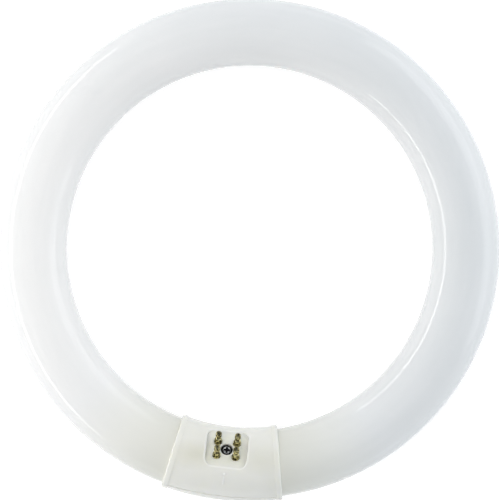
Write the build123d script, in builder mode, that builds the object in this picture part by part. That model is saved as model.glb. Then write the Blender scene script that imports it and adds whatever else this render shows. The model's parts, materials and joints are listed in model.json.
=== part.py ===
from build123d import *

import os
from math import cos, degrees, radians, sin, sqrt, tan

# Ring-shaped fluorescent tube with a screwed four-pin cap, in millimetres.
# The ring lies flat: Z is its axis, and Z = 0 is the surface that it rests on.
# The cap is centred on -Y, and its pins point up and lean towards the middle of the ring.

# Glass ring
ring_outer_d = 209.6
tube_d = 28.0
glass_end_gap = 28.0
shoulder_r = 3.5

# Re-entrant stem in each end of the glass
stem_mouth_d = 16.5
stem_press_d = 9.6
stem_depth = 14.0
exhaust_d = 3.6
exhaust_length = 4.0
exhaust_tip_d = 1.0

# Moulded cap around the two glass ends
cap_length = 45.5
cap_end_lean = 10.7
cap_wall = 1.25
cap_relief = 0.15
grip_width = 4.0
collar_width = 2.4
collar_proud = 0.4
collar_round = 1.0
seam_width = 0.6
seam_depth = 0.5
stop_rib_width = 1.2
stop_rib_height = 3.0
stop_rib_clearance = 0.6

# Pocket for the pins, in the front half of the cap
pin_tilt = 33.0
pocket_length = 17.0
pocket_width = 16.0
pocket_corner_r = 3.2
pocket_depth = 2.8
pocket_wall = 1.5
pocket_floor = 2.0
pocket_round = 0.8

# Hollow contact pins
pin_pitch_along = 7.92
pin_pitch_across = 6.35
pin_d = 2.5
pin_length = 7.6
pin_flange_d = 3.4
pin_flange = 0.8
pin_waist_d = 1.5
pin_waist_height = 4.4
pin_waist_length = 1.5
pin_waist_taper = 0.45
pin_tip_round = 0.65
pin_tip_dimple_d = 0.8
pin_tip_dimple = 0.4
pin_bore_d = 1.4
pin_shank_d = 2.0
pin_rivet_d = 3.2
pin_rivet = 0.5

# Lead wires from the glass into the pins
lead_d = 0.6
lead_bend_r = 3.0

# Cap screw and the bosses that it joins
screw_d = 2.9
screw_length = 13.0
screw_point = 1.0
screw_head_d = 4.8
screw_head = 1.7
screw_head_crown = 0.5
screw_head_sink = 0.4
screw_head_clearance = 0.2
screw_shank_clearance = 0.15
screw_recess_d = 2.9
screw_recess_slot = 1.05
screw_recess_depth = 1.1
screw_recess_taper = 14.0
boss_d = 6.2
boss_meet = 5.0
boss_root = 0.6
pilot_spare = 1.0
boss_web_height = 6.0
boss_web_width = 1.0

# Worked out from the sizes above
tube_r = tube_d / 2
ring_r = (ring_outer_d - tube_d) / 2
bore_r = tube_r + cap_relief
body_r = bore_r + cap_wall
collar_r = body_r + collar_proud
axis_height = collar_r
lead_r = lead_d / 2
floor_top = body_r - pocket_depth
floor_under = floor_top - pocket_floor
screw_seat = floor_top - screw_head_sink - screw_head
screw_tip = screw_seat - screw_length
screw_crown_r = ((screw_head_d / 2) ** 2 + screw_head_crown**2) / (2 * screw_head_crown)

# Frame of the pins: x along the ring, y across it towards the middle, z along the pins
tilt = radians(pin_tilt)
cap_middle = Vector(0, -ring_r, axis_height)
pins_frame = Plane(origin=cap_middle, x_dir=(1, 0, 0), z_dir=(0, sin(tilt), cos(tilt)))

# Frame of the right-hand glass end: x out from the ring's axis, y up, z out of the tube
end_angle = (glass_end_gap / 2 + shoulder_r) / ring_r
end_out = Vector(sin(end_angle), -cos(end_angle), 0)
end_along = Vector(-cos(end_angle), -sin(end_angle), 0)
end_centre = end_out * ring_r + Vector(0, 0, axis_height)
end_face = Plane(origin=end_centre, x_dir=end_out, z_dir=end_along)
end_section = Plane(origin=end_centre, x_dir=end_out, z_dir=(0, 0, -1))
end_axis = Axis(end_centre, end_along)


def ring_section(*radii):
    """Draw a round section of the ring, hollow where a second radius is given."""
    with BuildSketch(Plane.YZ) as section:
        with Locations((ring_r, axis_height)):
            Circle(radii[0])
            for inner in radii[1:]:
                Circle(inner, mode=Mode.SUBTRACT)
    return section.sketch


def cap_span(half_length):
    """Draw the plan outline between two leaning ends, half_length either side of the cap's middle."""
    middle = sqrt(ring_r**2 - half_length**2)
    inner, outer = ring_r - 2 * tube_r, ring_r + 2 * tube_r
    inner_half = half_length + (inner - middle) * tan(radians(cap_end_lean))
    outer_half = half_length + (outer - middle) * tan(radians(cap_end_lean))
    corners = [(-inner_half, -inner), (inner_half, -inner), (outer_half, -outer), (-outer_half, -outer)]
    with BuildSketch(Plane.XY.offset(axis_height)) as outline:
        Polygon(*corners, align=None)
    return outline.sketch


def pin_point(x, y, height):
    """Give the place of a point that is known in the frame of the pins."""
    return pins_frame.from_local_coords((x, y, height))


def upright_section(x, y, height):
    """Give a plane through a line along the pins: x is the radius from that line and y the height."""
    return Plane(origin=pin_point(x, y, height), x_dir=pins_frame.x_dir, z_dir=-pins_frame.y_dir)


def on_side(hand, vector):
    """Give a right-hand place or direction as it is for hand 1, and its mirror image for hand -1."""
    return Vector(hand * vector.X, vector.Y, vector.Z)


# Glass tube: one half of the ring with its closed end, then its mirror image
with BuildPart() as glass_tube:
    with BuildSketch(end_face):
        Circle(tube_r)
    revolve(axis=Axis.Z, revolution_arc=180 - degrees(end_angle))
    with BuildSketch(end_section):
        with BuildLine():
            Polyline((0, shoulder_r), (0, 0), (tube_r, 0))
            RadiusArc((tube_r, 0), (tube_r - shoulder_r, shoulder_r), -shoulder_r)
            Line((tube_r - shoulder_r, shoulder_r), (0, shoulder_r))
        make_face()
    revolve(axis=end_axis)
    # The stem is a funnel pressed flat at its root
    with BuildSketch(end_section):
        with BuildLine():
            Polyline(
                (0, shoulder_r),
                (0, shoulder_r - stem_depth),
                (stem_press_d / 2, shoulder_r - stem_depth),
                (stem_mouth_d / 2, shoulder_r),
                close=True,
            )
        make_face()
    revolve(axis=end_axis, mode=Mode.SUBTRACT)
    # The sealed tip of the exhaust tube stands out of the stem
    with BuildSketch(end_section):
        exhaust_r = exhaust_d / 2
        exhaust_tip = shoulder_r + exhaust_length
        with BuildLine():
            Polyline(
                (0, exhaust_tip),
                (0, shoulder_r - stem_depth),
                (exhaust_r, shoulder_r - stem_depth),
                (exhaust_r, exhaust_tip - exhaust_r),
                (exhaust_tip_d / 2, exhaust_tip),
                close=True,
            )
        make_face()
    revolve(axis=end_axis)
    mirror(about=Plane.YZ)
glass_tube.part.label = "glass_tube"

# Cap sleeve: both halves in one, before they are parted
with BuildPart() as cap_waist:
    revolve(ring_section(collar_r + collar_proud, body_r).faces(), axis=Axis.Z)
    extrude(cap_span(cap_length / 2 - collar_width), amount=2 * tube_r, both=True, mode=Mode.INTERSECT)

with BuildPart() as cap_relief_space:
    revolve(ring_section(bore_r).faces(), axis=Axis.Z)
    extrude(cap_span(cap_length / 2 - grip_width), amount=2 * tube_r, both=True, mode=Mode.INTERSECT)

with BuildPart() as cap_seam:
    revolve(ring_section(collar_r + seam_depth, body_r - seam_depth).faces(), axis=Axis.Z)
    with BuildSketch(pins_frame):
        Rectangle(2 * cap_length, 4 * tube_r)
    extrude(amount=seam_width / 2, both=True, mode=Mode.INTERSECT)

with BuildPart() as cap_sleeve:
    revolve(ring_section(collar_r).faces(), axis=Axis.Z)
    extrude(cap_span(cap_length / 2), amount=2 * tube_r, both=True, mode=Mode.INTERSECT)
    fillet(cap_sleeve.faces().filter_by(GeomType.PLANE).edges(), collar_round)
    add(cap_waist.part, mode=Mode.SUBTRACT)
    add(cap_relief_space.part, mode=Mode.SUBTRACT)
    revolve(ring_section(tube_r).faces(), axis=Axis.Z, mode=Mode.SUBTRACT)
    add(cap_seam.part, mode=Mode.SUBTRACT)

# Bulkhead that the pocket is sunk into, cut to the round of the cap
with BuildPart() as pocket_body:
    with BuildSketch(pins_frame.offset(floor_under)):
        Rectangle(pocket_length + 2 * pocket_wall, 2 * body_r)
    extrude(amount=tube_r)
    revolve(ring_section(body_r).faces(), axis=Axis.Z, mode=Mode.INTERSECT)

# Front half of the cap, on the side of the pins
with BuildPart() as cap_front:
    add(cap_sleeve.part)
    split(bisect_by=pins_frame, keep=Keep.TOP)
    add(pocket_body.part)
    with BuildSketch(pins_frame.offset(boss_meet)):
        Circle(boss_d / 2)
    extrude(amount=floor_under - boss_meet)
    with BuildSketch(pins_frame.offset(floor_top)):
        RectangleRounded(pocket_length, pocket_width, pocket_corner_r)
    extrude(amount=tube_r, mode=Mode.SUBTRACT)
    pocket_edges = cap_front.edges(Select.LAST)
    flat_edges = pocket_edges.filter_by(GeomType.LINE) + pocket_edges.filter_by(GeomType.CIRCLE)
    fillet(pocket_edges - flat_edges, pocket_round)
    with Locations(pins_frame.offset(floor_top)):
        CounterBoreHole(
            radius=screw_d / 2 + screw_shank_clearance,
            counter_bore_radius=screw_head_d / 2 + screw_head_clearance,
            counter_bore_depth=floor_top - screw_seat,
            depth=floor_top - boss_meet,
        )
        with GridLocations(pin_pitch_along, pin_pitch_across, 2, 2):
            Hole(radius=pin_shank_d / 2, depth=pocket_floor)
cap_front.part.label = "cap_front"

# Stop ribs: they keep the glass ends off the screw boss
rib_half = glass_end_gap / 2 - stop_rib_clearance
with BuildPart() as stop_ribs:
    revolve(ring_section(bore_r, bore_r - stop_rib_height).faces(), axis=Axis.Z)
    extrude(cap_span(rib_half), amount=2 * tube_r, both=True, mode=Mode.INTERSECT)
    extrude(cap_span(rib_half - stop_rib_width), amount=2 * tube_r, both=True, mode=Mode.SUBTRACT)
    split(bisect_by=pins_frame, keep=Keep.BOTTOM)

# Web across the back of the cap, which stiffens the foot of the screw boss
with BuildPart() as boss_web:
    with BuildSketch(pins_frame.offset(boss_web_height - bore_r)):
        Rectangle(boss_web_width, 4 * tube_r)
    extrude(amount=-2 * tube_r)
    revolve(ring_section(bore_r + boss_root).faces(), axis=Axis.Z, mode=Mode.INTERSECT)

# Back half of the cap, with the boss that the screw bites into
with BuildPart() as cap_back:
    add(cap_sleeve.part)
    split(bisect_by=pins_frame, keep=Keep.BOTTOM)
    add(stop_ribs.part)
    with BuildSketch(pins_frame.offset(boss_meet)):
        Circle(boss_d / 2)
    extrude(amount=-(boss_meet + bore_r + boss_root))
    add(boss_web.part)
    with Locations(pins_frame.offset(boss_meet)):
        Hole(radius=screw_d / 2, depth=boss_meet - screw_tip + pilot_spare)
cap_back.part.label = "cap_back"

# Cap screw with a pan head and a cross recess
with BuildPart() as cap_screw:
    with BuildSketch(upright_section(0, 0, screw_seat)):
        with BuildLine():
            Polyline(
                (0, screw_head),
                (0, -screw_length),
                (screw_d / 2 - screw_point, -screw_length),
                (screw_d / 2, screw_point - screw_length),
                (screw_d / 2, 0),
                (screw_head_d / 2, 0),
                (screw_head_d / 2, screw_head - screw_head_crown),
            )
            rim = (screw_head_d / 2, screw_head - screw_head_crown)
            RadiusArc(rim, (0, screw_head), -screw_crown_r)
        make_face()
    revolve(axis=Axis(pin_point(0, 0, 0), pins_frame.z_dir))
    with BuildSketch(pins_frame.offset(screw_seat + screw_head)):
        Rectangle(screw_recess_d, screw_recess_slot)
        Rectangle(screw_recess_slot, screw_recess_d)
    extrude(amount=-screw_recess_depth, taper=screw_recess_taper, mode=Mode.SUBTRACT)
cap_screw.part.label = "cap_screw"

# Write the single pieces
os.makedirs("parts", exist_ok=True)
for piece in (glass_tube, cap_front, cap_back, cap_screw):
    export_step(piece.part, f"parts/{piece.part.label}.step")

# Contact pins, riveted through the pocket floor, each with the lead wire that ends in it
waist_low = pin_waist_height - pin_waist_length / 2
waist_high = pin_waist_height + pin_waist_length / 2
rivet_under = -pocket_floor - pin_rivet
for row, across in (("inner", pin_pitch_across / 2), ("outer", -pin_pitch_across / 2)):
    for side, hand in (("left", -1), ("right", 1)):
        along = hand * pin_pitch_along / 2
        turn_point = pin_point(along, across, 0)

        with BuildPart() as contact_pin:
            with BuildSketch(upright_section(along, across, floor_top)):
                with BuildLine():
                    Polyline(
                        (pin_d / 2 - pin_tip_round, pin_length),
                        (pin_tip_dimple_d / 2, pin_length),
                        (lead_r, pin_length - pin_tip_dimple),
                        (lead_r, waist_low),
                        (pin_bore_d / 2, waist_low - pin_waist_taper),
                        (pin_bore_d / 2, rivet_under),
                        (pin_rivet_d / 2, rivet_under),
                        (pin_rivet_d / 2, -pocket_floor),
                        (pin_shank_d / 2, -pocket_floor),
                        (pin_shank_d / 2, 0),
                        (pin_flange_d / 2, 0),
                        (pin_flange_d / 2, pin_flange),
                        (pin_d / 2, pin_flange),
                        (pin_d / 2, waist_low - pin_waist_taper),
                        (pin_waist_d / 2, waist_low),
                        (pin_waist_d / 2, waist_high),
                        (pin_d / 2, waist_high + pin_waist_taper),
                        (pin_d / 2, pin_length - pin_tip_round),
                    )
                    RadiusArc(
                        (pin_d / 2, pin_length - pin_tip_round),
                        (pin_d / 2 - pin_tip_round, pin_length),
                        -pin_tip_round,
                    )
                make_face()
            revolve(axis=Axis(turn_point, pins_frame.z_dir))
        contact_pin.part.label = f"pin_{row}_{side}"
        export_step(contact_pin.part, f"parts/{contact_pin.part.label}.step")

        # The wire leaves the stem along the glass end's axis and turns up into the pin
        towards_pin = on_side(hand, end_along)
        stem_root = on_side(hand, end_centre) + towards_pin * (shoulder_r - stem_depth)
        run = (turn_point - stem_root).dot(towards_pin)
        with BuildPart() as lead_wire:
            with BuildLine() as route:
                FilletPolyline(
                    turn_point - towards_pin * run,
                    turn_point,
                    pin_point(along, across, floor_top + pin_length - pin_tip_dimple),
                    radius=lead_bend_r,
                )
            with BuildSketch(Plane(origin=route.line @ 0, z_dir=route.line % 0)):
                Circle(lead_r)
            sweep(path=route.line)
        lead_wire.part.label = f"lead_wire_{row}_{side}"
        export_step(lead_wire.part, f"parts/{lead_wire.part.label}.step")
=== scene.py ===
"""Looks of a ring-shaped fluorescent tube: its finishes, mould marks, studio and camera.

Lengths are in metres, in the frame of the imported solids: Z is the ring's axis, Z = 0 is the
surface that the ring rests on, and the cap is centred on -Y.
"""

import json
import logging
import math
from dataclasses import dataclass, field
from enum import Enum

import bmesh
import bpy
from mathutils import Matrix, Vector

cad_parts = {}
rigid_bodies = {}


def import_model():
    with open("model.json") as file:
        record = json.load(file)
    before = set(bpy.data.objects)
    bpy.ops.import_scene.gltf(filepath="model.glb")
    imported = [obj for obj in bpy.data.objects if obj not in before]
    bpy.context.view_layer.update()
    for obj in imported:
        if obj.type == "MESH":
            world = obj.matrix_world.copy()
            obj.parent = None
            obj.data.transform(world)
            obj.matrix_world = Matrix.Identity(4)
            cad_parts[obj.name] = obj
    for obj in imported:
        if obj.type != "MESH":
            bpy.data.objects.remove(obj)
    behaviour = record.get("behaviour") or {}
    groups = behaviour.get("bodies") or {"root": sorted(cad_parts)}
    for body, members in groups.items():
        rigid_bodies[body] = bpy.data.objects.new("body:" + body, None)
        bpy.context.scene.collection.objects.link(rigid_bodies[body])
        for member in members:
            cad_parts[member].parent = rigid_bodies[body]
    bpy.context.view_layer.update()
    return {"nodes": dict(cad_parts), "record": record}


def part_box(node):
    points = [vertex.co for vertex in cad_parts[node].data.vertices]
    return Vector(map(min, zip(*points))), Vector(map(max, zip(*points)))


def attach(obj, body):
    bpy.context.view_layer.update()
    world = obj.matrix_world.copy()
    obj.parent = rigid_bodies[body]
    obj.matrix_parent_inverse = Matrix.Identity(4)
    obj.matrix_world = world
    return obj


Colour = tuple[float, float, float, float]
Tint = tuple[float, float, float]
Place = tuple[float, float, float]
Span = tuple[float, float]
Socket = bpy.types.NodeSocket
Inputs = dict[str | int, object]

MM = 0.001
LOG = logging.getLogger("ring_lamp")

# The height that the lamps are aimed at, and the spread of a lamp without a grid
AIM_HEIGHT = 15.8 * MM
OPEN_SPREAD_DEG = 180.0

# Ranges that most of a cloudy pattern lies in
WIDE: Span = (0.3, 0.7)
MIDDLE: Span = (0.35, 0.65)

# Shares that a range is mapped to
RISING: Span = (0.0, 1.0)
FALLING: Span = (1.0, 0.0)

for start_object in list(bpy.data.objects):
    bpy.data.objects.remove(start_object)
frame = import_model()


class Slot(Enum):
    """The record's material slots."""

    GLASS = "coated_glass"
    CAP = "cap_plastic"
    PIN = "pin_brass"
    SCREW = "screw_steel"
    WIRE = "lead_wire"

    def finish_name(self) -> str:
        """Give the name of the finish that the slot is dressed in."""
        return f"{self.value}_finish"


class Row(Enum):
    """The two rows of pins: nearer the middle of the ring, and further from it."""

    INNER = "inner"
    OUTER = "outer"


class Side(Enum):
    """Left and right of the cap's middle, seen with the cap nearest."""

    LEFT = "left"
    RIGHT = "right"


@dataclass(frozen=True)
class PinLine:
    """A line up the middle of the pins: where it leaves the pocket floor, and which way it goes."""

    foot: Vector
    way: Vector

    @classmethod
    def from_record(cls, flange: float) -> "PinLine":
        """Read the line from the contacts that the record states.

        Args:
            flange: Height of the pins' flanges, which the stated contacts leave out.

        Returns:
            The line.
        """
        stated = frame["record"]["mounts"]
        contacts = [mount for mount in stated if mount["kind"] == "pin"]
        way = Vector(contacts[0]["axis"])
        middle = sum((Vector(mount["pos_m"]) for mount in contacts), Vector())
        half = contacts[0]["dims"]["length_mm"] * MM / 2
        return cls(middle / len(contacts) - way * (half + flange), way)


@dataclass(frozen=True)
class Pocket:
    """The sunk pocket that the pins stand in: the line up its middle, and its rounded outline."""

    line: PinLine
    half_length: float = 8.5 * MM
    half_width: float = 8.0 * MM
    corner: float = 3.2 * MM

    def halves(self) -> tuple[tuple[Vector, float], tuple[Vector, float]]:
        """Give the ways along and across the pocket, each with half its size that way."""
        along = Vector((1.0, 0.0, 0.0))
        return (along, self.half_length), (self.line.way.cross(along), self.half_width)


class NodeBench:
    """The node tree of one material or world, with short calls that add nodes and join them."""

    # Where the node that mixes colours has its share, its two colours and its result
    MIX_SHARE, MIX_FIRST, MIX_SECOND, MIX_RESULT = 0, 6, 7, 2

    def __init__(self, tree: bpy.types.NodeTree) -> None:
        """Start from an empty tree.

        Args:
            tree: The node tree to fill.
        """
        self.tree = tree
        self.tree.nodes.clear()

    def node(
        self, kind: str, inputs: Inputs | None = None, **settings: object
    ) -> bpy.types.Node:
        """Add one node.

        Args:
            kind: Blender's name for the type of node.
            inputs: Socket name or number to a constant, or to the output that feeds it.
            settings: Attributes of the node itself.

        Returns:
            The new node.
        """
        made = self.tree.nodes.new(kind)
        for name, value in settings.items():
            setattr(made, name, value)
        for name, value in (inputs or {}).items():
            self.feed(made.inputs[name], value)
        return made

    def feed(self, socket: Socket, value: object) -> None:
        """Join an output to a socket, or set the socket to a constant.

        Args:
            socket: The socket that is fed.
            value: A constant, or the output of another node.
        """
        if isinstance(value, Socket):
            self.tree.links.new(value, socket)
        else:
            socket.default_value = value

    def places(self) -> Socket:
        """Give each point's place in the frame of the solids."""
        return self.node("ShaderNodeTexCoord").outputs["Object"]

    def math(self, operation: str, *values: object) -> Socket:
        """Add one sum on numbers.

        Args:
            operation: Blender's name for the sum.
            values: The constants or outputs that go into it.

        Returns:
            The result.
        """
        made = self.node("ShaderNodeMath", dict(enumerate(values)), operation=operation)
        return made.outputs[0]

    def vector(self, operation: str, *values: object, give: str = "Vector") -> Socket:
        """Add one sum on vectors.

        Args:
            operation: Blender's name for the sum.
            values: The constants or outputs that go into it.
            give: Which output is wanted, Vector or Value.

        Returns:
            The result.
        """
        inputs = dict(enumerate(values))
        made = self.node("ShaderNodeVectorMath", inputs, operation=operation)
        return made.outputs[give]

    def height_on(self, line: PinLine) -> Socket:
        """Give each point's height along a line."""
        away = self.vector("SUBTRACT", self.places(), line.foot)
        return self.vector("DOT_PRODUCT", away, line.way, give="Value")

    def reach_from(self, line: PinLine) -> Socket:
        """Give each point's distance from a line.

        Args:
            line: The line.

        Returns:
            The distance.
        """
        away = self.vector("SUBTRACT", self.places(), line.foot)
        across = self.vector("CROSS_PRODUCT", away, line.way)
        return self.vector("LENGTH", across, give="Value")

    def outside(self, pocket: Pocket) -> Socket:
        """Give each point's distance outside the outline of the pocket.

        Args:
            pocket: The pocket.

        Returns:
            The distance, which is less than 0 within the outline.
        """
        away = self.vector("SUBTRACT", self.places(), pocket.line.foot)
        squares = []
        for way, half in pocket.halves():
            reach = self.math("ABSOLUTE", self.vector("DOT_PRODUCT", away, way, give="Value"))
            past = self.math("MAXIMUM", self.math("SUBTRACT", reach, half - pocket.corner), 0.0)
            squares.append(self.math("MULTIPLY", past, past))
        from_core = self.math("SQRT", self.math("ADD", *squares))
        return self.math("SUBTRACT", from_core, pocket.corner)

    def facing_up(self) -> Socket:
        """Give a number that is 1 where the surface faces up, and 0 where it is upright."""
        normals = self.node("ShaderNodeTexCoord").outputs["Normal"]
        return self.node("ShaderNodeSeparateXYZ", {"Vector": normals}).outputs["Z"]

    def corners(self, reach: float) -> Socket:
        """Give a number that is 1 in the open and falls to 0 in tight corners."""
        made = self.node("ShaderNodeAmbientOcclusion", {"Distance": reach}, samples=8)
        return made.outputs["AO"]

    def rounded(self, radius: float, samples: int) -> Socket:
        """Give normals that round the edges off a little."""
        made = self.node("ShaderNodeBevel", {"Radius": radius}, samples=samples)
        return made.outputs["Normal"]

    def noise(
        self, where: Socket, size: float, detail: float = 2.0, rough: float = 0.5
    ) -> Socket:
        """Add a soft cloudy pattern.

        Args:
            where: The places that the pattern is read at.
            size: About how large one blotch is.
            detail: How many finer layers it has.
            rough: How strong the finer layers are.

        Returns:
            A number from 0 to 1, about a half on average.
        """
        inputs = {
            "Vector": where,
            "Scale": 1 / size,
            "Detail": detail,
            "Roughness": rough,
        }
        return self.node("ShaderNodeTexNoise", inputs).outputs["Fac"]

    def remap(self, value: Socket, before: Span, after: Span) -> Socket:
        """Map one range of numbers to another, and hold it at the ends.

        Args:
            value: The number to map.
            before: The range that it comes in.
            after: The range that it is given.

        Returns:
            The mapped number.
        """
        inputs = {
            "Value": value,
            "From Min": before[0],
            "From Max": before[1],
            "To Min": after[0],
            "To Max": after[1],
        }
        return self.node("ShaderNodeMapRange", inputs).outputs["Result"]

    def mix(self, share: Socket, first: object, second: object) -> Socket:
        """Mix two colours.

        Args:
            share: How much of the second colour shows, from 0 to 1.
            first: A colour, constant or output.
            second: A colour, constant or output.

        Returns:
            The mixed colour.
        """
        made = self.node("ShaderNodeMix", data_type="RGBA")
        self.feed(made.inputs[self.MIX_SHARE], share)
        self.feed(made.inputs[self.MIX_FIRST], first)
        self.feed(made.inputs[self.MIX_SECOND], second)
        return made.outputs[self.MIX_RESULT]

    def bump(
        self,
        height: Socket,
        depth: float,
        strength: float = 1.0,
        over: Socket | None = None,
    ) -> Socket:
        """Turn a pattern into small hills.

        Args:
            height: The pattern, from 0 to 1.
            depth: How high the hills are.
            strength: How much of them shows.
            over: Normals that the hills are laid over.

        Returns:
            The new normals.
        """
        inputs = {"Height": height, "Distance": depth, "Strength": strength}
        if over is not None:
            inputs["Normal"] = over
        return self.node("ShaderNodeBump", inputs).outputs["Normal"]

    def glossy_surface(self, inputs: Inputs) -> None:
        """Make the surface one glossy shader with these inputs."""
        shader = self.node("ShaderNodeBsdfPrincipled", inputs)
        self.surface(shader.outputs["BSDF"])

    def surface(self, shader: Socket) -> None:
        """Make a shader the surface."""
        self.node("ShaderNodeOutputMaterial", {"Surface": shader})


def new_material(name: str) -> tuple[bpy.types.Material, NodeBench]:
    """Start a material.

    Args:
        name: The material's name.

    Returns:
        The material, and the bench that fills it.
    """
    material = bpy.data.materials.new(name)
    material.use_nodes = True
    return material, NodeBench(material.node_tree)


@dataclass(frozen=True)
class CoatedGlass:
    """Clear glass over a white powder coat: cloudy, faintly streaked along the bend, and glossy."""

    coat: Colour = (0.875, 0.88, 0.88, 1.0)
    thin_coat: Colour = (0.835, 0.845, 0.845, 1.0)
    end_tint: Colour = (0.785, 0.785, 0.705, 1.0)
    end_reach: float = 40.0 * MM
    end_share: float = 0.85
    cloud: float = 45.0 * MM
    cloud_part: float = 0.45
    streak: float = 3.5 * MM
    streak_stretch: float = 14.0
    streak_part: float = 0.35
    grain: float = 0.6 * MM
    grain_part: float = 0.20
    ripple: float = 20.0 * MM
    ripple_depth: float = 0.06 * MM
    roughness: Span = (0.035, 0.075)
    ior: float = 1.5
    depth_share: float = 0.8
    depth_start: float = 18.0 * MM
    depth: Place = (16.0 * MM, 16.0 * MM, 16.0 * MM)

    def material(self, ring_radius: float, cap_half: float) -> bpy.types.Material:
        """Make the finish.

        Args:
            ring_radius: Radius of the tube's centre line.
            cap_half: Half the length of the cap, along that line.

        Returns:
            The material.
        """
        material, bench = new_material(Slot.GLASS.finish_name())
        where = bench.places()
        parts = bench.node("ShaderNodeSeparateXYZ", {"Vector": where}).outputs
        turn = bench.math("ARCTAN2", parts["X"], bench.math("MULTIPLY", parts["Y"], -1.0))
        along = bench.math("MULTIPLY", turn, ring_radius)
        x_square, y_square = (bench.math("MULTIPLY", parts[way], parts[way]) for way in "XY")
        straightened = {
            "X": bench.math("DIVIDE", along, self.streak_stretch),
            "Y": bench.math("SQRT", bench.math("ADD", x_square, y_square)),
            "Z": parts["Z"],
        }
        bent = bench.node("ShaderNodeCombineXYZ", straightened).outputs["Vector"]
        clouds = bench.noise(where, self.cloud)
        streaks = bench.noise(bent, self.streak, detail=3.0)
        grains = bench.noise(where, self.grain, detail=3.0, rough=0.6)
        fine = bench.math(
            "ADD",
            bench.math("MULTIPLY", streaks, self.streak_part),
            bench.math("MULTIPLY", grains, self.grain_part),
        )
        mottle = bench.math("ADD", bench.math("MULTIPLY", clouds, self.cloud_part), fine)
        coat = bench.mix(bench.remap(mottle, MIDDLE, RISING), self.coat, self.thin_coat)
        past_cap = bench.math("SUBTRACT", bench.math("ABSOLUTE", along), cap_half)
        ends = bench.remap(past_cap, (0.0, self.end_reach), (self.end_share, 0.0))
        depth_share = bench.remap(past_cap, (0.0, self.depth_start), (0.0, self.depth_share))
        ripples = bench.noise(where, self.ripple, detail=1.0)
        bench.glossy_surface(
            {
                "Base Color": bench.mix(ends, coat, self.end_tint),
                "Roughness": bench.remap(streaks, WIDE, self.roughness),
                "IOR": self.ior,
                "Subsurface Weight": depth_share,
                "Subsurface Radius": self.depth,
                "Subsurface Scale": 1.0,
                "Normal": bench.bump(ripples, self.ripple_depth),
            }
        )
        return material


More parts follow.
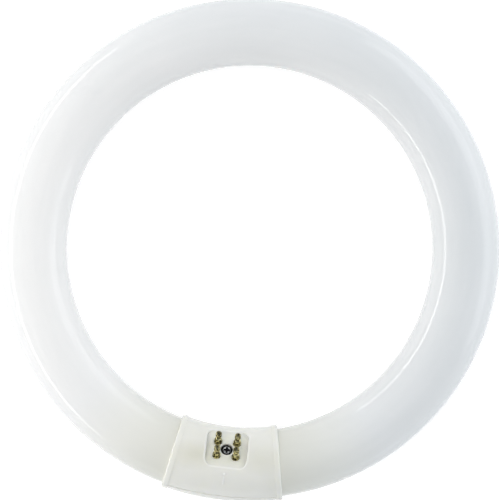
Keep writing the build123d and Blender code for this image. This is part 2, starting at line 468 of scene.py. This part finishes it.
@dataclass(frozen=True)
class MouldedPlastic:
    """Warm white moulded plastic, with painted shade in tight corners and over its crest, and
    painted light on its pocket's floor and rim.
    """

    skin: Colour = (0.895, 0.893, 0.832, 1.0)
    skin_shade: Colour = (0.865, 0.862, 0.795, 1.0)
    # Darker, yellower colour over the crest of the cap, round two spots: painted shade
    crest_shade_tint: Colour = (0.77, 0.765, 0.665, 1.0)
    crest_shade_spots: tuple[tuple[Place, float], ...] = (
        ((-13.0 * MM, -87.0 * MM, 31.0 * MM), 0.95),
        ((15.0 * MM, -86.5 * MM, 31.0 * MM), 0.55),
    )
    crest_shade_core: float = 0.15
    crest_shade_reach: float = 11.5 * MM
    crest_shade_squeeze: Place = (1.0, 1.7, 1.0)
    # Paler colour of the pocket floor: painted light that lifts it out of its shade
    pocket_fill_light: Colour = (0.97, 0.98, 0.845, 1.0)
    floor_fade: float = 3.0 * MM
    floor_depth: float = 0.5 * MM
    floor_core: float = 0.4
    # Paler colour along the pocket's rim: a painted highlight
    painted_highlight: Colour = (0.965, 0.965, 0.90, 1.0)
    rim_width: float = 0.8 * MM
    # Brownish colour in tight corners, in patches: painted shade
    corner_shade: Colour = (0.52, 0.49, 0.33, 1.0)
    corner_shade_reach: float = 1.2 * MM
    corner_shade_span: Span = (0.10, 0.45)
    corner_shade_share: float = 0.22
    corner_shade_patches: Span = (0.5, 1.0)
    cloud: float = 12.0 * MM
    grain: float = 0.3 * MM
    grain_depth: float = 0.006 * MM
    grain_strength: float = 0.6
    edge_round: float = 0.12 * MM
    edge_samples: int = 6
    roughness: Span = (0.12, 0.20)
    ior: float = 1.52
    depth_share: float = 0.35
    depth: Place = (1.6 * MM, 1.6 * MM, 1.3 * MM)

    def crest_shade_share(self, bench: NodeBench) -> Socket:
        """Find how far the painted shade over the crest reaches, round two spots either side of the
        pocket.

        Args:
            bench: The bench of the material.

        Returns:
            A number from 0 to 1.
        """
        fade = (self.crest_shade_core * self.crest_shade_reach, self.crest_shade_reach)
        shares = []
        for centre, share in self.crest_shade_spots:
            away = bench.vector("SUBTRACT", bench.places(), centre)
            squeezed = bench.vector("MULTIPLY", away, self.crest_shade_squeeze)
            reach = bench.vector("LENGTH", squeezed, give="Value")
            shares.append(bench.remap(reach, fade, (share, 0.0)))
        return bench.math("MAXIMUM", *shares)

    def pocket_colour(self, bench: NodeBench, pocket: Pocket, plain: Socket) -> Socket:
        """Lay painted light on the floor of the pocket and a painted highlight along its rim over
        the plain skin.

        Args:
            bench: The bench of the material.
            pocket: The pocket.
            plain: The colour of the plain skin.

        Returns:
            The colour with both.
        """
        outside = bench.outside(pocket)
        height = bench.height_on(pocket.line)
        half_rim = self.rim_width / 2
        off_rim = bench.math("ABSOLUTE", bench.math("SUBTRACT", outside, half_rim))
        # Painted highlight along the rim
        rim = bench.math(
            "MULTIPLY",
            bench.remap(off_rim, (half_rim / 2, 3 * half_rim / 2), FALLING),
            bench.remap(height, (-2 * self.floor_depth, -self.floor_depth), RISING),
        )
        # Painted light on the floor, fading out towards the rim
        off_floor = bench.math("ABSOLUTE", height)
        floor_span = (self.floor_core * self.floor_depth, self.floor_depth)
        floor = bench.math(
            "MULTIPLY",
            bench.remap(outside, (-self.floor_fade, 0.0), FALLING),
            bench.remap(off_floor, floor_span, FALLING),
        )
        return bench.mix(rim, bench.mix(floor, plain, self.pocket_fill_light), self.painted_highlight)

    def material(self, pocket: Pocket) -> bpy.types.Material:
        """Make the finish.

        Args:
            pocket: The pocket in the cap's front.

        Returns:
            The material.
        """
        material, bench = new_material(Slot.CAP.finish_name())
        where = bench.places()
        clouds = bench.noise(where, self.cloud, detail=3.0)
        grains = bench.noise(where, self.grain)
        plain = bench.mix(bench.remap(clouds, WIDE, RISING), self.skin, self.skin_shade)
        # Painted shade over the crest
        tinted = bench.mix(self.crest_shade_share(bench), plain, self.crest_shade_tint)
        skin = self.pocket_colour(bench, pocket, tinted)
        corners = bench.corners(self.corner_shade_reach)
        # Painted shade in tight corners
        corner_shade_mask = bench.math(
            "MULTIPLY",
            bench.remap(corners, self.corner_shade_span, (self.corner_shade_share, 0.0)),
            bench.remap(clouds, WIDE, self.corner_shade_patches),
        )
        soft_edge = bench.rounded(self.edge_round, self.edge_samples)
        bench.glossy_surface(
            {
                "Base Color": bench.mix(corner_shade_mask, skin, self.corner_shade),
                "Roughness": bench.remap(grains, WIDE, self.roughness),
                "IOR": self.ior,
                "Subsurface Weight": self.depth_share,
                "Subsurface Radius": self.depth,
                "Subsurface Scale": 1.0,
                "Normal": bench.bump(
                    grains, self.grain_depth, self.grain_strength, soft_edge
                ),
            }
        )
        return material


@dataclass(frozen=True)
class GlintPaintedPlastic:
    """The cap's plastic at the gate mark and flow mark, coloured whiter than the skin as a painted
    highlight, and duller.
    """

    # Near-white colours of the marks: a painted highlight
    pale: Colour = (0.96, 0.96, 0.94, 1.0)
    dull: Colour = (0.91, 0.91, 0.87, 1.0)
    cloud: float = 0.6 * MM
    roughness: Span = (0.16, 0.28)
    ior: float = 1.52

    def material(self) -> bpy.types.Material:
        """Make the finish.

        Returns:
            The material.
        """
        material, bench = new_material("glint_painted_plastic_finish")
        clouds = bench.noise(bench.places(), self.cloud, detail=3.0)
        bench.glossy_surface(
            {
                "Base Color": bench.mix(
                    bench.remap(clouds, MIDDLE, RISING), self.pale, self.dull
                ),
                "Roughness": bench.remap(clouds, WIDE, self.roughness),
                "IOR": self.ior,
            }
        )
        return material


@dataclass(frozen=True)
class DrawnBrass:
    """Drawn brass: painted light on top and painted shade on its flanks, broken by patches of
    tarnish, with painted shade at its waist and foot and a darker tip.
    """

    brass: Colour = (0.95, 0.86, 0.46, 1.0)
    # Dark colour on the flanks: painted shade, broken by patches of tarnish
    shade_and_tarnish: Colour = (0.030, 0.019, 0.005, 1.0)
    # Near-black at the waist and the foot: painted shade; also towards the tip
    painted_dark: Colour = (0.005, 0.004, 0.001, 1.0)
    edge_tint: Colour = (0.35, 0.28, 0.12, 1.0)
    # Brass shows where the pin faces up: painted light
    highlight_facing: Span = (0.17, 0.48)
    highlight_patches: Span = (0.47, 0.57)
    highlight_shares: Span = (1.0, 0.1)
    waist_height: float = 4.4 * MM
    waist_half: float = 1.2 * MM
    waist_core: float = 0.4
    waist_share: float = 0.6
    tip_height: float = 7.1 * MM
    tip_fade: float = 0.6 * MM
    tip_share: float = 0.85
    foot_reach: float = 1.0 * MM
    foot_corner: Span = (0.3, 0.85)
    foot_share: float = 0.9
    blotch: float = 1.0 * MM
    scratch: float = 0.12 * MM
    scratch_depth: float = 0.006 * MM
    scratch_strength: float = 0.5
    roughness: Span = (0.24, 0.48)

    def painted_dark_share(self, bench: NodeBench, line: PinLine) -> Socket:
        """Find where the brass is painted dark: painted shade at the waist and in the corner of the
        foot, and darker towards the tip.

        Args:
            bench: The bench of the material.
            line: The line up the middle of the pins.

        Returns:
            A number from 0 to 1.
        """
        height = bench.height_on(line)
        off_waist = bench.math("ABSOLUTE", bench.math("SUBTRACT", height, self.waist_height))
        waist_span = (self.waist_core * self.waist_half, self.waist_half)
        waist = bench.remap(off_waist, waist_span, (self.waist_share, 0.0))
        tip_span = (self.tip_height, self.tip_height + self.tip_fade)
        tip = bench.remap(height, tip_span, (0.0, self.tip_share))
        corners = bench.corners(self.foot_reach)
        foot = bench.remap(corners, self.foot_corner, (self.foot_share, 0.0))
        return bench.math("MAXIMUM", bench.math("MAXIMUM", waist, tip), foot)

    def material(self, line: PinLine) -> bpy.types.Material:
        """Make the finish.

        Args:
            line: The line up the middle of the pins.

        Returns:
            The material.
        """
        material, bench = new_material(Slot.PIN.finish_name())
        where = bench.places()
        blotches = bench.noise(where, self.blotch, detail=4.0, rough=0.6)
        scratches = bench.noise(where, self.scratch)
        # Painted light on the parts that face up, in patches
        painted_highlight = bench.math(
            "MULTIPLY",
            bench.remap(bench.facing_up(), self.highlight_facing, RISING),
            bench.remap(blotches, self.highlight_patches, self.highlight_shares),
        )
        tone = bench.mix(painted_highlight, self.shade_and_tarnish, self.brass)
        bench.glossy_surface(
            {
                "Base Color": bench.mix(self.painted_dark_share(bench, line), tone, self.painted_dark),
                "Metallic": 1.0,
                "Specular Tint": self.edge_tint,
                "Roughness": bench.remap(blotches, WIDE, self.roughness),
                "Normal": bench.bump(scratches, self.scratch_depth, self.scratch_strength),
            }
        )
        return material


@dataclass(frozen=True)
class DarkSteel:
    """Black steel: a painted highlight on the crown of its head, and black as painted shade at its
    rim and in its recess.
    """

    black: Colour = (0.010, 0.010, 0.011, 1.0)
    smoky: Colour = (0.030, 0.030, 0.032, 1.0)
    # Near-white crown of the screw head: a painted highlight
    painted_highlight: Colour = (0.95, 0.94, 0.91, 1.0)
    highlight_radius: float = 1.65 * MM
    highlight_fade: float = 0.25 * MM
    highlight_patches: Span = (0.40, 0.52)
    highlight_shares: Span = (0.25, 1.0)
    crown_top: float = -0.4 * MM
    crown_radius: float = 6.0 * MM
    recess_fade: float = 0.12 * MM
    recess_core: float = 0.3
    edge: float = 0.14 * MM
    edge_samples: int = 8
    blotch: float = 0.9 * MM
    roughness: Span = (0.28, 0.45)

    def crown_share(self, bench: NodeBench, line: PinLine) -> Socket:
        """Find where the crown of the head takes the painted highlight, clear of its rim and its
        recess.

        Args:
            bench: The bench of the material.
            line: The screw's axis.

        Returns:
            A number from 0 to 1.
        """
        reach = bench.reach_from(line)
        fall = bench.math("DIVIDE", bench.math("MULTIPLY", reach, reach), 2 * self.crown_radius)
        crown = bench.math("SUBTRACT", self.crown_top, fall)
        sunk = bench.math("SUBTRACT", crown, bench.height_on(line))
        rim_span = (self.highlight_radius - self.highlight_fade, self.highlight_radius)
        recess_span = (self.recess_core * self.recess_fade, self.recess_fade)
        return bench.math(
            "MULTIPLY",
            bench.remap(reach, rim_span, FALLING),
            bench.remap(sunk, recess_span, FALLING),
        )

    def material(self, line: PinLine) -> bpy.types.Material:
        """Make the finish.

        Args:
            line: The screw's own axis, which is the line up the middle of the pins.

        Returns:
            The material.
        """
        material, bench = new_material(Slot.SCREW.finish_name())
        blotches = bench.noise(bench.places(), self.blotch, detail=4.0, rough=0.6)
        tone = bench.mix(bench.remap(blotches, MIDDLE, RISING), self.black, self.smoky)
        # Painted highlight on the crown; the black rim and recess are painted shade
        crown_highlight = bench.math(
            "MULTIPLY",
            self.crown_share(bench, line),
            bench.remap(blotches, self.highlight_patches, self.highlight_shares),
        )
        bench.glossy_surface(
            {
                "Base Color": bench.mix(crown_highlight, tone, self.painted_highlight),
                "Metallic": 1.0,
                "Roughness": bench.remap(blotches, WIDE, self.roughness),
                "Normal": bench.rounded(self.edge, self.edge_samples),
            }
        )
        return material


@dataclass(frozen=True)
class PlatedWire:
    """Thin lead wire, its plating dulled and gone brown where the copper shows."""

    plate: Colour = (0.15, 0.125, 0.09, 1.0)
    copper: Colour = (0.10, 0.06, 0.03, 1.0)
    copper_patches: Span = (0.45, 0.75)
    copper_shares: Span = (0.0, 0.8)
    blotch: float = 1.5 * MM
    roughness: Span = (0.25, 0.4)

    def material(self) -> bpy.types.Material:
        """Make the finish.

        Returns:
            The material.
        """
        material, bench = new_material(Slot.WIRE.finish_name())
        blotches = bench.noise(bench.places(), self.blotch, detail=4.0, rough=0.6)
        bare = bench.remap(blotches, self.copper_patches, self.copper_shares)
        bench.glossy_surface(
            {
                "Base Color": bench.mix(bare, self.plate, self.copper),
                "Metallic": 1.0,
                "Roughness": bench.remap(blotches, WIDE, self.roughness),
            }
        )
        return material


@dataclass(frozen=True)
class PaperFloor:
    """White paper that shows as white, and still takes the object's shadow."""

    paper: Colour = (0.88, 0.88, 0.88, 1.0)
    shown_paper: Colour = (0.56, 0.56, 0.56, 1.0)
    glow: float = 0.66

    def material(self) -> bpy.types.Material:
        """Make the finish.

        Returns:
            The material.
        """
        material, bench = new_material("paper_floor")
        rays = bench.node("ShaderNodeLightPath").outputs
        seen = bench.math(
            "MAXIMUM",
            bench.math("MAXIMUM", rays["Is Camera Ray"], rays["Is Glossy Ray"]),
            rays["Is Transmission Ray"],
        )
        shown = bench.mix(seen, self.paper, self.shown_paper)
        matt = bench.node("ShaderNodeBsdfDiffuse", {"Color": shown}).outputs["BSDF"]
        strength = bench.math("MULTIPLY", seen, self.glow)
        glow = bench.node("ShaderNodeEmission", {"Strength": strength}).outputs["Emission"]
        both = bench.node("ShaderNodeAddShader", {0: matt, 1: glow})
        bench.surface(both.outputs["Shader"])
        return material


@dataclass(frozen=True)
class SoftBox:
    """A flat soft lamp. Its radiance is what it gives straight ahead, also through a grid."""

    name: str
    centre: Place
    aim: Place
    length: float
    height: float
    radiance: float
    colour: Tint = (1.0, 1.0, 1.0)
    spread_deg: float = OPEN_SPREAD_DEG
    mirrored: bool = True

    def straight_ahead(self) -> float:
        """Find what a grid that narrows the spread does straight ahead, at the same power.

        Returns:
            How many times brighter the lamp is there.
        """
        if self.spread_deg >= OPEN_SPREAD_DEG:
            return 1.0
        half = math.radians(self.spread_deg / 2)
        return math.tan(half) / (math.tan(half) - half)

    def place(self) -> None:
        """Hang the lamp, its long side level."""
        lamp = bpy.data.lights.new(self.name, "AREA")
        lamp.shape = "RECTANGLE"
        lamp.size = self.length
        lamp.size_y = self.height
        area = self.length * self.height
        lamp.energy = self.radiance * math.pi * area / self.straight_ahead()
        lamp.color = self.colour
        lamp.spread = math.radians(self.spread_deg)
        holder = bpy.data.objects.new(self.name, lamp)
        holder.visible_glossy = self.mirrored
        bpy.context.scene.collection.objects.link(holder)
        ahead = Vector(self.aim) - Vector(self.centre)
        holder.location = self.centre
        holder.rotation_euler = ahead.to_track_quat("-Z", "Y").to_euler()
        LOG.info("lamp %s", self.name)


@dataclass(frozen=True)
class Studio:
    """Pale floor, grey-blue sky with one darker side, and soft lamps left, above and right."""

    floor_half: float = 6.0
    sky: Colour = (0.445, 0.485, 0.52, 1.0)
    horizon: Colour = (0.76, 0.75, 0.76, 1.0)
    horizon_top: float = 0.30
    sky_strength: float = 1.2
    dark_side: Place = (0.446, -0.895, 0.0)
    dark_span: Span = (0.2, 0.85)
    dark_share: float = 0.80
    lamps: tuple[SoftBox, ...] = (
        SoftBox(
            "strip_left",
            centre=(-0.85, -0.06, 0.177),
            aim=(0.08, 0.0, AIM_HEIGHT),
            length=2.4,
            height=0.13,
            radiance=4.1,
            colour=(1.0, 0.985, 0.95),
        ),
        SoftBox(
            "box_above_left",
            centre=(-0.12, -0.02, 0.42),
            aim=(-0.09, -0.01, AIM_HEIGHT),
            length=0.30,
            height=0.20,
            radiance=5.0,
            colour=(1.0, 0.86, 0.75),
            spread_deg=70.0,
            mirrored=False,
        ),
        SoftBox(
            "card_right",
            centre=(0.80, 0.35, 0.28),
            aim=(0.05, 0.0, AIM_HEIGHT),
            length=1.6,
            height=0.50,
            radiance=1.13,
        ),
    )

    def build(self) -> None:
        """Build the sky, the floor and the lamps."""
        self.light_sky()
        self.lay_floor()
        for lamp in self.lamps:
            lamp.place()

    def light_sky(self) -> None:
        """Fill the world with a sky that pales towards the horizon and dims on one side."""
        world = bpy.data.worlds.new("studio_sky")
        world.use_nodes = True
        bench = NodeBench(world.node_tree)
        way = bench.node("ShaderNodeTexCoord").outputs["Generated"]
        up = bench.node("ShaderNodeSeparateXYZ", {"Vector": way}).outputs["Z"]
        ramp = bench.node("ShaderNodeValToRGB", {"Fac": up})
        low_stop, high_stop = ramp.color_ramp.elements
        low_stop.color = self.horizon
        high_stop.color = self.sky
        high_stop.position = self.horizon_top
        turned = bench.vector("DOT_PRODUCT", way, self.dark_side, give="Value")
        strengths = (self.sky_strength, self.sky_strength * self.dark_share)
        shine = {
            "Color": ramp.outputs["Color"],
            "Strength": bench.remap(turned, self.dark_span, strengths),
        }
        sky = bench.node("ShaderNodeBackground", shine).outputs["Background"]
        bench.node("ShaderNodeOutputWorld", {"Surface": sky})
        bpy.context.scene.world = world

    def lay_floor(self) -> None:
        """Lay the floor."""
        sheet = bmesh.new()
        bmesh.ops.create_grid(sheet, x_segments=1, y_segments=1, size=self.floor_half)
        mesh = bpy.data.meshes.new("floor")
        sheet.to_mesh(mesh)
        sheet.free()
        mesh.materials.append(PaperFloor().material())
        floor = bpy.data.objects.new("floor", mesh)
        bpy.context.scene.collection.objects.link(floor)


@dataclass(frozen=True)
class PhotoCamera:
    """The photo's view: straight down on the ring, turned so that the cap is left of the bottom.

    ring_right and ring_above are how far the ring's middle is right of the picture's middle
    and above it, in pixels of a picture whose long side has long_side of them.
    """

    distance: float = 0.80
    metres_per_pixel: float = 0.0004202
    long_side: int = 500
    turn_deg: float = 6.5
    ring_right: float = 0.2
    ring_above: float = 1.7
    sensor: float = 36.0
    nearest: float = 0.01
    furthest: float = 50.0

    def place(self, axis_height: float) -> None:
        """Set up the camera.

        Args:
            axis_height: Height of the tube's centre line.
        """
        lens = bpy.data.cameras.new("photo_camera")
        lens.sensor_width = self.sensor
        lens.lens = self.sensor * self.distance / (self.long_side * self.metres_per_pixel)
        lens.clip_start = self.nearest
        lens.clip_end = self.furthest
        camera = bpy.data.objects.new("photo_camera", lens)
        bpy.context.scene.collection.objects.link(camera)
        turn = Matrix.Rotation(math.radians(self.turn_deg), 3, "Z")
        off = turn @ Vector((-self.ring_right, -self.ring_above, 0.0))
        camera.location = off * self.metres_per_pixel
        camera.location.z = axis_height + self.distance
        camera.rotation_euler = turn.to_euler()
        bpy.context.scene.camera = camera


def dress(node: str, material: bpy.types.Material) -> None:
    """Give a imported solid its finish.

    Args:
        node: The solid's name.
        material: The finish.
    """
    for holder in frame["nodes"][node].material_slots:
        holder.material = material
    LOG.info("%s dressed in %s", node, material.name)


def add_piece(
    name: str, mesh: bmesh.types.BMesh, material: bpy.types.Material
) -> None:
    """Turn a mesh into a piece that goes with the part.

    Args:
        name: The piece's name.
        mesh: Its mesh, in the frame of the solids. It is freed here.
        material: Its finish.
    """
    bmesh.ops.recalc_face_normals(mesh, faces=mesh.faces)
    data = bpy.data.meshes.new(name)
    mesh.to_mesh(data)
    mesh.free()
    data.shade_smooth()
    data.materials.append(material)
    piece = bpy.data.objects.new(name, data)
    bpy.context.scene.collection.objects.link(piece)
    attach(piece, "root")
    LOG.info("%s built, %d faces", name, len(data.polygons))


@dataclass
class GlassRing:
    """The coated glass tube, with the sizes that the finish and the cap marks need."""

    finish: CoatedGlass = field(default_factory=CoatedGlass)
    ring_radius: float = field(init=False)
    axis_height: float = field(init=False)

    def __post_init__(self) -> None:
        """Read the tube's sizes from its solid."""
        low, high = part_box("glass_tube")
        tube_radius = (high.z - low.z) / 2
        self.ring_radius = (high.x - low.x) / 2 - tube_radius
        self.axis_height = (high.z + low.z) / 2

    def build(self) -> None:
        """Dress the tube."""
        low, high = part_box("cap_front")
        material = self.finish.material(self.ring_radius, (high.x - low.x) / 2)
        dress("glass_tube", material)


@dataclass
class EndCap:
    """The two halves of the cap, and the mould marks on its front."""

    ring_radius: float
    axis_height: float
    pocket: Pocket
    skin_radius: float = 15.4 * MM
    sink: float = 0.05 * MM
    pip_lean_deg: float = 10.9
    pip_radius: float = 0.62 * MM
    pip_height: float = 0.48 * MM
    pip_flatness: float = 0.7
    pip_around: int = 32
    pip_rings: int = 8
    rib_from_deg: float = 14.5
    rib_to_deg: float = 30.0
    rib_half_width: float = 0.30 * MM
    rib_height: float = 0.34 * MM
    rib_end_width: float = 0.35
    rib_fade: float = 0.35
    rib_lengths: int = 24
    rib_section: int = 8
    finish: MouldedPlastic = field(default_factory=MouldedPlastic)
    mark_finish: GlintPaintedPlastic = field(default_factory=GlintPaintedPlastic)

    def build(self) -> None:
        """Dress the halves and add the marks."""
        skin, mark = self.finish.material(self.pocket), self.mark_finish.material()
        dress("cap_front", skin)
        dress("cap_back", skin)
        # The marks' pale colour is a painted highlight
        add_piece("gate_pip", self.pip_mesh(), mark)
        add_piece("flow_rib", self.rib_mesh(), mark)

    def skin_point(self, lean_deg: float, along: float, lift: float) -> Vector:
        """Find a point over the cap's skin.

        Args:
            lean_deg: How far the point leans out from the top of the tube.
            along: Its distance along the ring from the cap's middle.
            lift: Its height over the skin.

        Returns:
            The point.
        """
        lean = math.radians(lean_deg)
        reach = self.skin_radius + lift
        out = self.ring_radius + reach * math.sin(lean)
        turn = along / self.ring_radius
        height = self.axis_height + reach * math.cos(lean)
        return Vector((out * math.sin(turn), -out * math.cos(turn), height))

    def pip_mesh(self) -> bmesh.types.BMesh:
        """Build the round gate mark, a low dome with a sunk skirt.

        Returns:
            The mesh.
        """
        mesh = bmesh.new()
        per_deg = math.radians(1.0) * self.skin_radius
        loops = []
        for ring in range(self.pip_rings + 1):
            slope = math.pi / 2 * ring / self.pip_rings
            radius = self.pip_radius * math.sin(slope)
            lift = self.pip_height * math.cos(slope) ** self.pip_flatness - self.sink
            loop = []
            for step in range(self.pip_around if ring else 1):
                angle = 2 * math.pi * step / self.pip_around
                lean = self.pip_lean_deg + radius * math.sin(angle) / per_deg
                point = self.skin_point(lean, radius * math.cos(angle), lift)
                loop.append(mesh.verts.new(point))
            loops.append(loop)
        for step in range(self.pip_around):
            after = (step + 1) % self.pip_around
            mesh.faces.new((loops[0][0], loops[1][step], loops[1][after]))
            for inner, outer in zip(loops[1:], loops[2:]):
                mesh.faces.new((inner[step], outer[step], outer[after], inner[after]))
        mesh.faces.new(loops[-1])
        return mesh

    def rib_mesh(self) -> bmesh.types.BMesh:
        """Build the short flow mark below the gate, a thin rib that fades at its ends.

        Returns:
            The mesh.
        """
        mesh = bmesh.new()
        loops = []
        for step in range(self.rib_lengths + 1):
            share = step / self.rib_lengths
            lean = self.rib_from_deg + (self.rib_to_deg - self.rib_from_deg) * share
            fade = math.sin(math.pi * share) ** self.rib_fade
            width = self.rib_end_width + (1 - self.rib_end_width) * fade
            loop = []
            for point in range(self.rib_section + 1):
                angle = math.pi * point / self.rib_section
                along = self.rib_half_width * math.cos(angle) * width
                lift = self.rib_height * math.sin(angle) * fade - self.sink
                loop.append(mesh.verts.new(self.skin_point(lean, along, lift)))
            loops.append(loop)
        for before, after in zip(loops, loops[1:]):
            for point in range(self.rib_section):
                beyond = point + 1
                mesh.faces.new((before[point], before[beyond], after[beyond], after[point]))
            mesh.faces.new((before[-1], before[0], after[0], after[-1]))
        for loop in (loops[0], loops[-1]):
            mesh.faces.new(loop)
        return mesh


@dataclass
class ContactPins:
    """The four pins and the wires that end in them."""

    flange: float = 0.8 * MM
    brass: DrawnBrass = field(default_factory=DrawnBrass)
    wire: PlatedWire = field(default_factory=PlatedWire)
    line: PinLine = field(init=False)

    def __post_init__(self) -> None:
        """Find the line up the middle of the pins."""
        self.line = PinLine.from_record(self.flange)

    def build(self) -> None:
        """Dress the pins and wires."""
        brass, wire = self.brass.material(self.line), self.wire.material()
        for row in Row:
            for side in Side:
                dress(f"pin_{row.value}_{side.value}", brass)
                dress(f"lead_wire_{row.value}_{side.value}", wire)


@dataclass
class CapScrew:
    """The screw that holds the halves of the cap together, in the middle of the pins."""

    line: PinLine
    finish: DarkSteel = field(default_factory=DarkSteel)

    def build(self) -> None:
        """Dress the screw."""
        dress("cap_screw", self.finish.material(self.line))


def main() -> None:
    """Build the studio and dress the part."""
    logging.basicConfig(level=logging.INFO)
    bpy.context.scene.view_settings.view_transform = "Standard"
    ring = GlassRing()
    Studio().build()
    PhotoCamera().place(ring.axis_height)
    ring.build()
    pins = ContactPins()
    EndCap(ring.ring_radius, ring.axis_height, Pocket(pins.line)).build()
    pins.build()
    CapScrew(pins.line).build()


if __name__ == "__main__":
    main()
